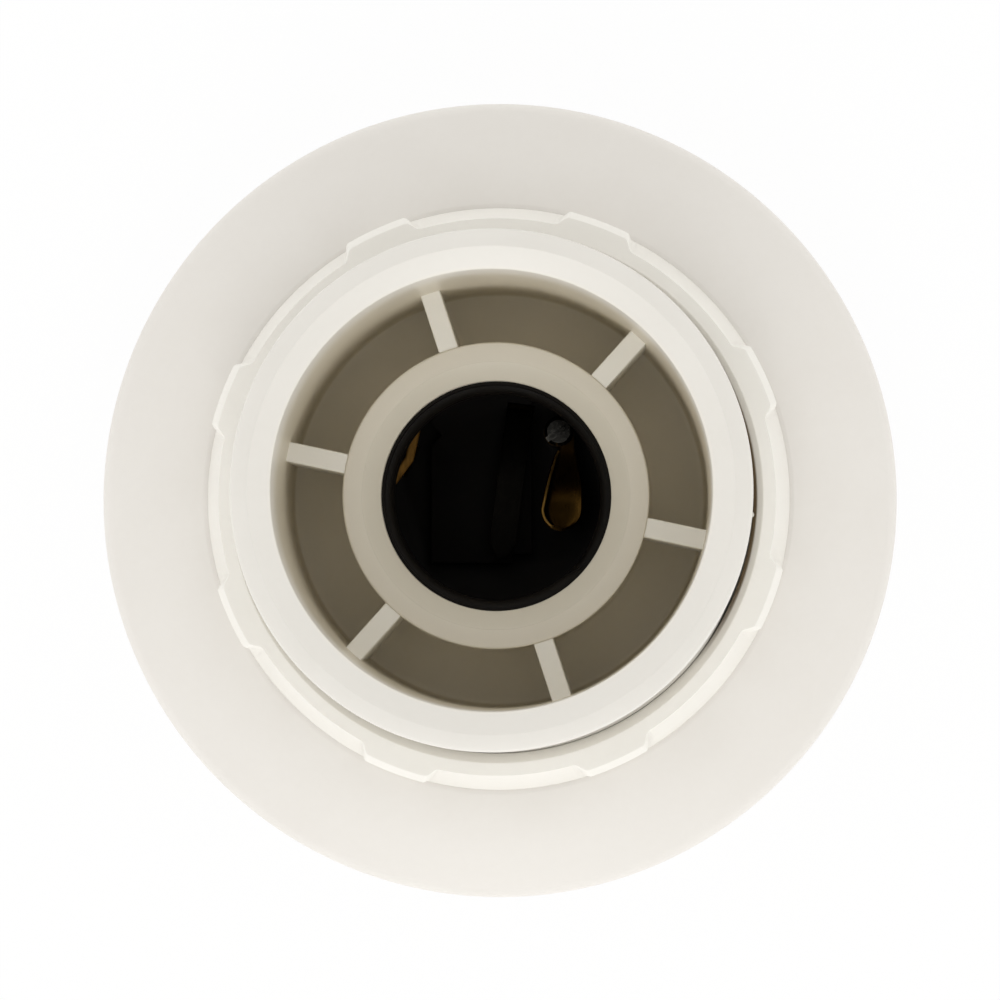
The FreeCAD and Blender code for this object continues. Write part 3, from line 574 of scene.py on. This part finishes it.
# The thread that the ring screws on ends inside the ring's mouth, and a small pip stands at its end.
thread_end_angle, thread_turns, thread_pitch, thread_end_height = -4.0, 2.7, 3.0, 23.85
start_point = solid_piece("barrel_thread", [(0, 0, 0)], [])
barrel_thread = shaped(start_point, thread_tree("barrel_screw_thread", True), {
    "Turns": thread_turns, "Pitch": thread_pitch * MM, "Radius": 29.8 * MM,
    "Start height": (thread_end_height - thread_turns * thread_pitch) * MM,
    "Start angle": math.radians(thread_end_angle - 360 * thread_turns), "Half depth": 0.67 * MM,
    "Half width": 2.4 * MM, "Run-out": 20.0 * MM, "Finish": SKIRT_WHITE})
finished(barrel_thread, SKIRT_WHITE, "holder", "skirt_white")

pip_outline = soften([(0.0, 23.6, 0), (0.42, 23.6, 0.1), (0.34, 25.2, 0.2), (0.0, 25.3, 0)], 5)
pip_angle, pip_distance = math.radians(thread_end_angle), 30.3
pip_place = (pip_distance * math.cos(pip_angle), pip_distance * math.sin(pip_angle))
thread_stop = lathe("thread_end_stop", pip_outline, steps=24, about=pip_place)
finished(thread_stop, SKIRT_WHITE, "holder", "skirt_white")

# ---------------------------------------------------------------- shade ring
ring_bore, ring_mouth, ring_mouth_depth, lug_bevel = 30.5, 31.6, 2.2, 0.8
side_row_gap = 1.6      # rows up the ring's side, along which the cut between two lugs can bend
ring_outline = [
    (ring_bore, ring_base, 0.2), (ring_bore, ring_top - ring_mouth_depth, 0.6),
    (ring_mouth, ring_top, 0.25), (ring_mouth + 1.0, ring_top, 0), (ring_mouth + 1.8, ring_top, 0),
    (ring_radius - lug_bevel, ring_top, 0.2), (ring_radius, ring_top - lug_bevel, 0.25)]
ring_outline += [(ring_radius, ring_top - lug_bevel - side_row_gap * k, 0) for k in (1, 2, 3)]
ring_outline += [(ring_radius, ring_base + 0.8, 0), (ring_radius, ring_base, 0.3)]
ring = shaped(lathe("castellated_ring", soften(ring_outline), steps=720), castellation_tree(), {
    "Lugs": 8, "Lug angle": math.radians(14.5), "First lug": math.radians(24.5),
    "Flank angle": math.radians(2.6), "Foot height": (ring_base + 0.3) * MM, "Top height": ring_top * MM,
    "Foot radius": ring_radius * MM, "Top radius": (ring_bore + 2.6) * MM, "Finish": RING_WHITE}, 30)
finished(ring, RING_WHITE, "shade_ring", "ring_white", "shade_ring")

# ---------------------------------------------------------------- black insert and its thread
insert = dressed("thread_insert", "lamp_insert", 0.15)
finished(insert, INSERT_BLACK, "holder", "insert_black", "thread_insert")
start_point = solid_piece("lamp_thread_ridge", [(0, 0, 0)], [])
lamp_thread = shaped(start_point, thread_tree("lamp_screw_thread", False), {
    "Turns": 2.4, "Pitch": 3.629 * MM, "Radius": 13.6 * MM, "Start height": 18.2 * MM,
    "Start angle": math.radians(184), "Half depth": 1.3 * MM, "Half width": 1.25 * MM,
    "Run-out": 5.0 * MM, "Finish": INSERT_BLACK})
finished(lamp_thread, INSERT_BLACK, "holder", "insert_black")

# ---------------------------------------------------------------- contacts
sheet = 0.42                                # thickness of the stamped strip
eye_x, eye_y, eye_z, eye_radius = 7.2, 8.4, 8.95, 1.85
spoon_y, spoon_long = -1.05, 2.6            # where the spoon starts to close, and how far it runs on


def leaf_rows():
    """The spoon leaf: a round eye, a neck on the wall side, then a cupped spoon whose edge towards the
    middle is rolled up."""
    steps = 44
    neck_start, widening_length = 6.46, 7.66
    neck_left, left_spread, neck_right, right_spread = 7.33, 2.19, 9.05, 0.95
    climb_start, climb_length, leaf_rise = 1.9, 7.2, 2.3
    edge_roll, roll_width, cup_depth = 0.5, 0.14, 0.3
    across = (0.0, 0.05, 0.11, 0.2, 0.35, 0.5, 0.65, 0.82, 0.93, 1.0)
    top, end = eye_y + eye_radius, spoon_y - spoon_long
    rows = []
    for i in range(steps + 1):
        y = top + (end - top) * i / steps
        down = min(1.0, max(0.0, (neck_start - y) / widening_length))
        left = neck_left - left_spread * down ** 0.7
        right = neck_right + right_spread * min(1.0, 1.6 * down)
        eye = math.sqrt(max(0.0, eye_radius ** 2 - (y - eye_y) ** 2))
        if y > eye_y:
            left, right = eye_x - eye, eye_x + eye
        elif eye > 0:
            left, right = min(left, eye_x - eye), max(right, eye_x + eye)
        if y < spoon_y:
            part = math.sqrt(max(0.0, 1 - ((y - spoon_y) / spoon_long) ** 2))
            middle, half = (left + right) / 2, (right - left) / 2
            left, right = middle - half * part, middle + half * part
        climb = min(1.0, max(0.0, (eye_y - climb_start - y) / climb_length))
        z = eye_z + leaf_rise * (3 * climb ** 2 - 2 * climb ** 3)
        roll = min(1.0, 4 * climb)
        row = []
        for u in across:
            rolled = edge_roll * roll * max(0.0, 1 - u / roll_width) ** 2
            cupped = cup_depth * climb * (2 * u - 1) ** 4
            row.append((left + (right - left) * u, y, z + (rolled + cupped)))
        rows.append(row)
    return rows


def leaf_lip_rows():
    """The turned-up edge of the spoon, from its neck round to its nose."""
    neck_y, nose_share = 6.4, 0.93
    section = [(0.16, -0.75), (0.12, -0.3), (0.1, 0.22)]        # (inwards, up) from the edge
    edge = [row[0] for row in leaf_rows() if spoon_y - nose_share * spoon_long < row[0][1] < neck_y]
    return [[(x + inwards, y, z + up) for inwards, up in section] for x, y, z in edge]


# The leaf's dark brass is painted shade.
leaf = sheet_metal("spoon_leaf", leaf_rows(), sheet)
finished(leaf, BRASS, "side_contact_right", "brass_right", "side_contact_right")
# The lip's bright brass is a painted highlight.
lip = sheet_metal("spoon_leaf_lip", leaf_lip_rows(), 0.36)
finished(lip, SPOON_LIP_PAINTED_HIGHLIGHT, "side_contact_right", "brass_right")

wall_angle, wall_reach, wall_half, wall_fold = 155.6, 11.95, 4.3, 12
# (way out from wall_reach, height) up the middle of the leaf, and over its lip
wall_rise = [(0.75, 7.8), (0.55, 9.2), (0.35, 10.6), (0.15, 12.0), (0.0, 13.2), (0.0, 14.1), (0.1, 14.55)]
wall_lip = [(-0.6, 14.56), (-0.3, 14.7), (0.0, 14.83), (0.3, 14.93), (0.55, 14.92)]


def wall_rows(profile):
    """Rows of the wall leaf, which is folded down its middle, through (way out, height) points."""
    columns = 12
    a = math.radians(wall_angle)
    rows = []
    for out, z in profile:
        row = []
        for j in range(columns + 1):
            v = -wall_half + 2 * wall_half * j / columns
            r = wall_reach + out + abs(v) * math.tan(math.radians(wall_fold))
            row.append((r * math.cos(a) - v * math.sin(a), r * math.sin(a) + v * math.cos(a), z))
        rows.append(row)
    return rows


wall_leaf = sheet_metal("wall_leaf", wall_rows(wall_rise), sheet)
finished(wall_leaf, BRASS, "side_contact_left", "brass_left", "side_contact_left")
# This lip's lighter brass is a painted highlight.
wall_leaf_lip = sheet_metal("wall_leaf_lip", wall_rows(wall_lip), 0.3)
finished(wall_leaf_lip, WALL_LIP_PAINTED_HIGHLIGHT, "side_contact_left", "brass_left")


def centre_rows():
    """The centre strip: up through the floor, over the bridge, bowed in the middle, nose down."""
    root, tip = Vector((2.5, 11.2)), Vector((0.1, -7.2))
    stem_half, strip_half, stem_top = 1.45, 1.68, 8.6
    nose_length, nose_narrowing, arch = 2.0, 1.0, 0.06
    along = tip - root
    length = along.length
    along.normalize()
    side = Vector((-along.y, along.x))
    spine = [(0.25, 3.8), (0.25, 6.0), (0.25, 8.3), (0.45, 8.9), (1.1, 9.15), (3.5, 9.9), (6.5, 10.7),
             (9.0, 11.2), (11.5, 11.33), (14.0, 11.2), (16.5, 10.85),
             (length - 1.0, 10.75), (length - 0.05, 10.65)]
    rows = []
    for u, z in spine:
        half = stem_half if z < stem_top else strip_half
        if u > length - nose_length:
            half = strip_half - nose_narrowing * (u - length + nose_length) / nose_length
        spot = root + along * u
        rows.append([(spot.x + side.x * half * v, spot.y + side.y * half * v, z - arch * v * v)
                     for v in (-1, -0.6, -0.2, 0.2, 0.6, 1)])
    return rows


centre = sheet_metal("centre_strip", centre_rows(), sheet)
finished(centre, NICKEL_PAINTED_SHADE, "centre_contact", "plated_contact", "centre_contact")

# ---------------------------------------------------------------- screws, straps, terminals, plate
# solid, piece, edge rounding, finish, slot
for node, piece_name, edge, finish, slot in (
        ("contact_screw", "leaf_screw", 0.18, ZINC_PAINTED_SHADE, "screw_plated"),
        ("active_strap", "strap_to_active", 0.12, DULL_BRASS, "brass_strap_a"),
        ("neutral_strap", "strap_to_neutral", 0.12, DULL_BRASS, "brass_strap_n"),
        ("assembly_screws", "back_screws", 0.15, ZINC, "screw_steel"),
        ("mounting_plate", "back_plate", 0.25, PLATE_WHITE, "plate_white")):
    finished(dressed(node, piece_name, edge), finish, "holder", slot, node)
for use in ("active", "neutral", "loop", "earth"):
    block, clamp = use + "_terminal", use + "_terminal_screw"
    finished(dressed(block, use + "_tunnel_block", 0.2), MACHINED_BRASS, "holder", "brass_" + use, block)
    finished(dressed(clamp, use + "_clamp_screw", 0.12), ZINC, clamp, "screw_" + use, clamp)

# ---------------------------------------------------------------- floor, light and camera
floor_reach = 3.0                   # metres
floor_height_m = -0.05 * MM         # just under the plate, whose back lies at 0
floor_mesh = bpy.data.meshes.new("floor")
floor_mesh.from_pydata(
    [(x * floor_reach, y * floor_reach, floor_height_m) for x, y in ((-1, -1), (1, -1), (1, 1), (-1, 1))],
    [], [(0, 1, 2, 3)])
floor = bpy.data.objects.new("floor", floor_mesh)
bpy.context.scene.collection.objects.link(floor)
# White paper. The camera sees most of it as plain white, and the rest of it keeps the shadow.
plain_white_share = 0.94
paper = bpy.data.materials.new("white_paper_sweep")
paper.use_nodes = True
sweep = paper.node_tree
sweep.nodes["Principled BSDF"].inputs["Base Color"].default_value = linear("#FFFFFF")
sweep.nodes["Principled BSDF"].inputs["Roughness"].default_value = 0.9
seen = add(sweep, "ShaderNodeLightPath").outputs["Is Camera Ray"]
white = add(sweep, "ShaderNodeEmission", {"Color": (1, 1, 1, 1), "Strength": 1.0}).outputs[0]
share = add(sweep, "ShaderNodeMath", {0: seen, 1: plain_white_share}, operation="MULTIPLY").outputs[0]
blend = add(sweep, "ShaderNodeMixShader",
            {0: share, 1: sweep.nodes["Principled BSDF"].outputs[0], 2: white}).outputs[0]
sweep.links.new(blend, sweep.nodes["Material Output"].inputs["Surface"])
floor_mesh.materials.append(paper)

# Even light from all sides that falls off overhead, so that the lamp's hole stays black.
world = bpy.data.worlds.new("studio")
world.use_nodes = True
bpy.context.scene.world = world
sky = world.node_tree
direction = add(sky, "ShaderNodeTexCoord").outputs["Generated"]
up = add(sky, "ShaderNodeSeparateXYZ", {0: direction}).outputs["Z"]
side_light = add(sky, "ShaderNodeMapRange", {
    "Value": up, "From Min": 0.74, "From Max": 0.95, "To Min": 1.16, "To Max": 0.45},
    interpolation_type="SMOOTHSTEP").outputs[0]
overhead = add(sky, "ShaderNodeMapRange", {
    "Value": up, "From Min": 0.9, "From Max": 0.975, "To Min": 1.0, "To Max": 0.12},
    interpolation_type="SMOOTHSTEP").outputs[0]
light = add(sky, "ShaderNodeMath", {0: side_light, 1: overhead}, operation="MULTIPLY").outputs[0]
sky.links.new(light, sky.nodes["Background"].inputs["Strength"])
sky.nodes["Background"].inputs["Color"].default_value = linear("#FFFEFC")

# A square soft box in front, aimed at the middle of the part, lifts the side towards it.
box_light = bpy.data.lights.new("front_box", "AREA")
box_light.size = 0.45               # metres
box_light.energy = 1.2              # watts
front_box = bpy.data.objects.new("front_box", box_light)
front_box.location = Vector((-20.0, -640.0, 600.0)) * MM
box_aim = Vector((0.0, 0.0, 20.0)) * MM
front_box.rotation_euler = (box_aim - front_box.location).to_track_quat("-Z", "Y").to_euler()
bpy.context.scene.collection.objects.link(front_box)

# The camera looks down the lamp's axis from 0.6 m, a little off it towards +X and -Y.
camera_data = bpy.data.cameras.new("camera")
camera_data.sensor_width = 36.0
camera_data.lens = 178.3
camera_data.clip_start = 0.01
camera = bpy.data.objects.new("camera", camera_data)
camera.location = Vector((14.0, -16.2, 614.0)) * MM
camera_aim = Vector((0.1, -0.07, 14.0)) * MM
back = (camera.location - camera_aim).normalized()
right = Vector((0, 1, 0)).cross(back).normalized()
camera.rotation_euler = Matrix((right, back.cross(right), back)).transposed().to_euler()
bpy.context.scene.collection.objects.link(camera)
bpy.context.scene.camera = camera
bpy.context.scene.view_settings.view_transform = "Standard"
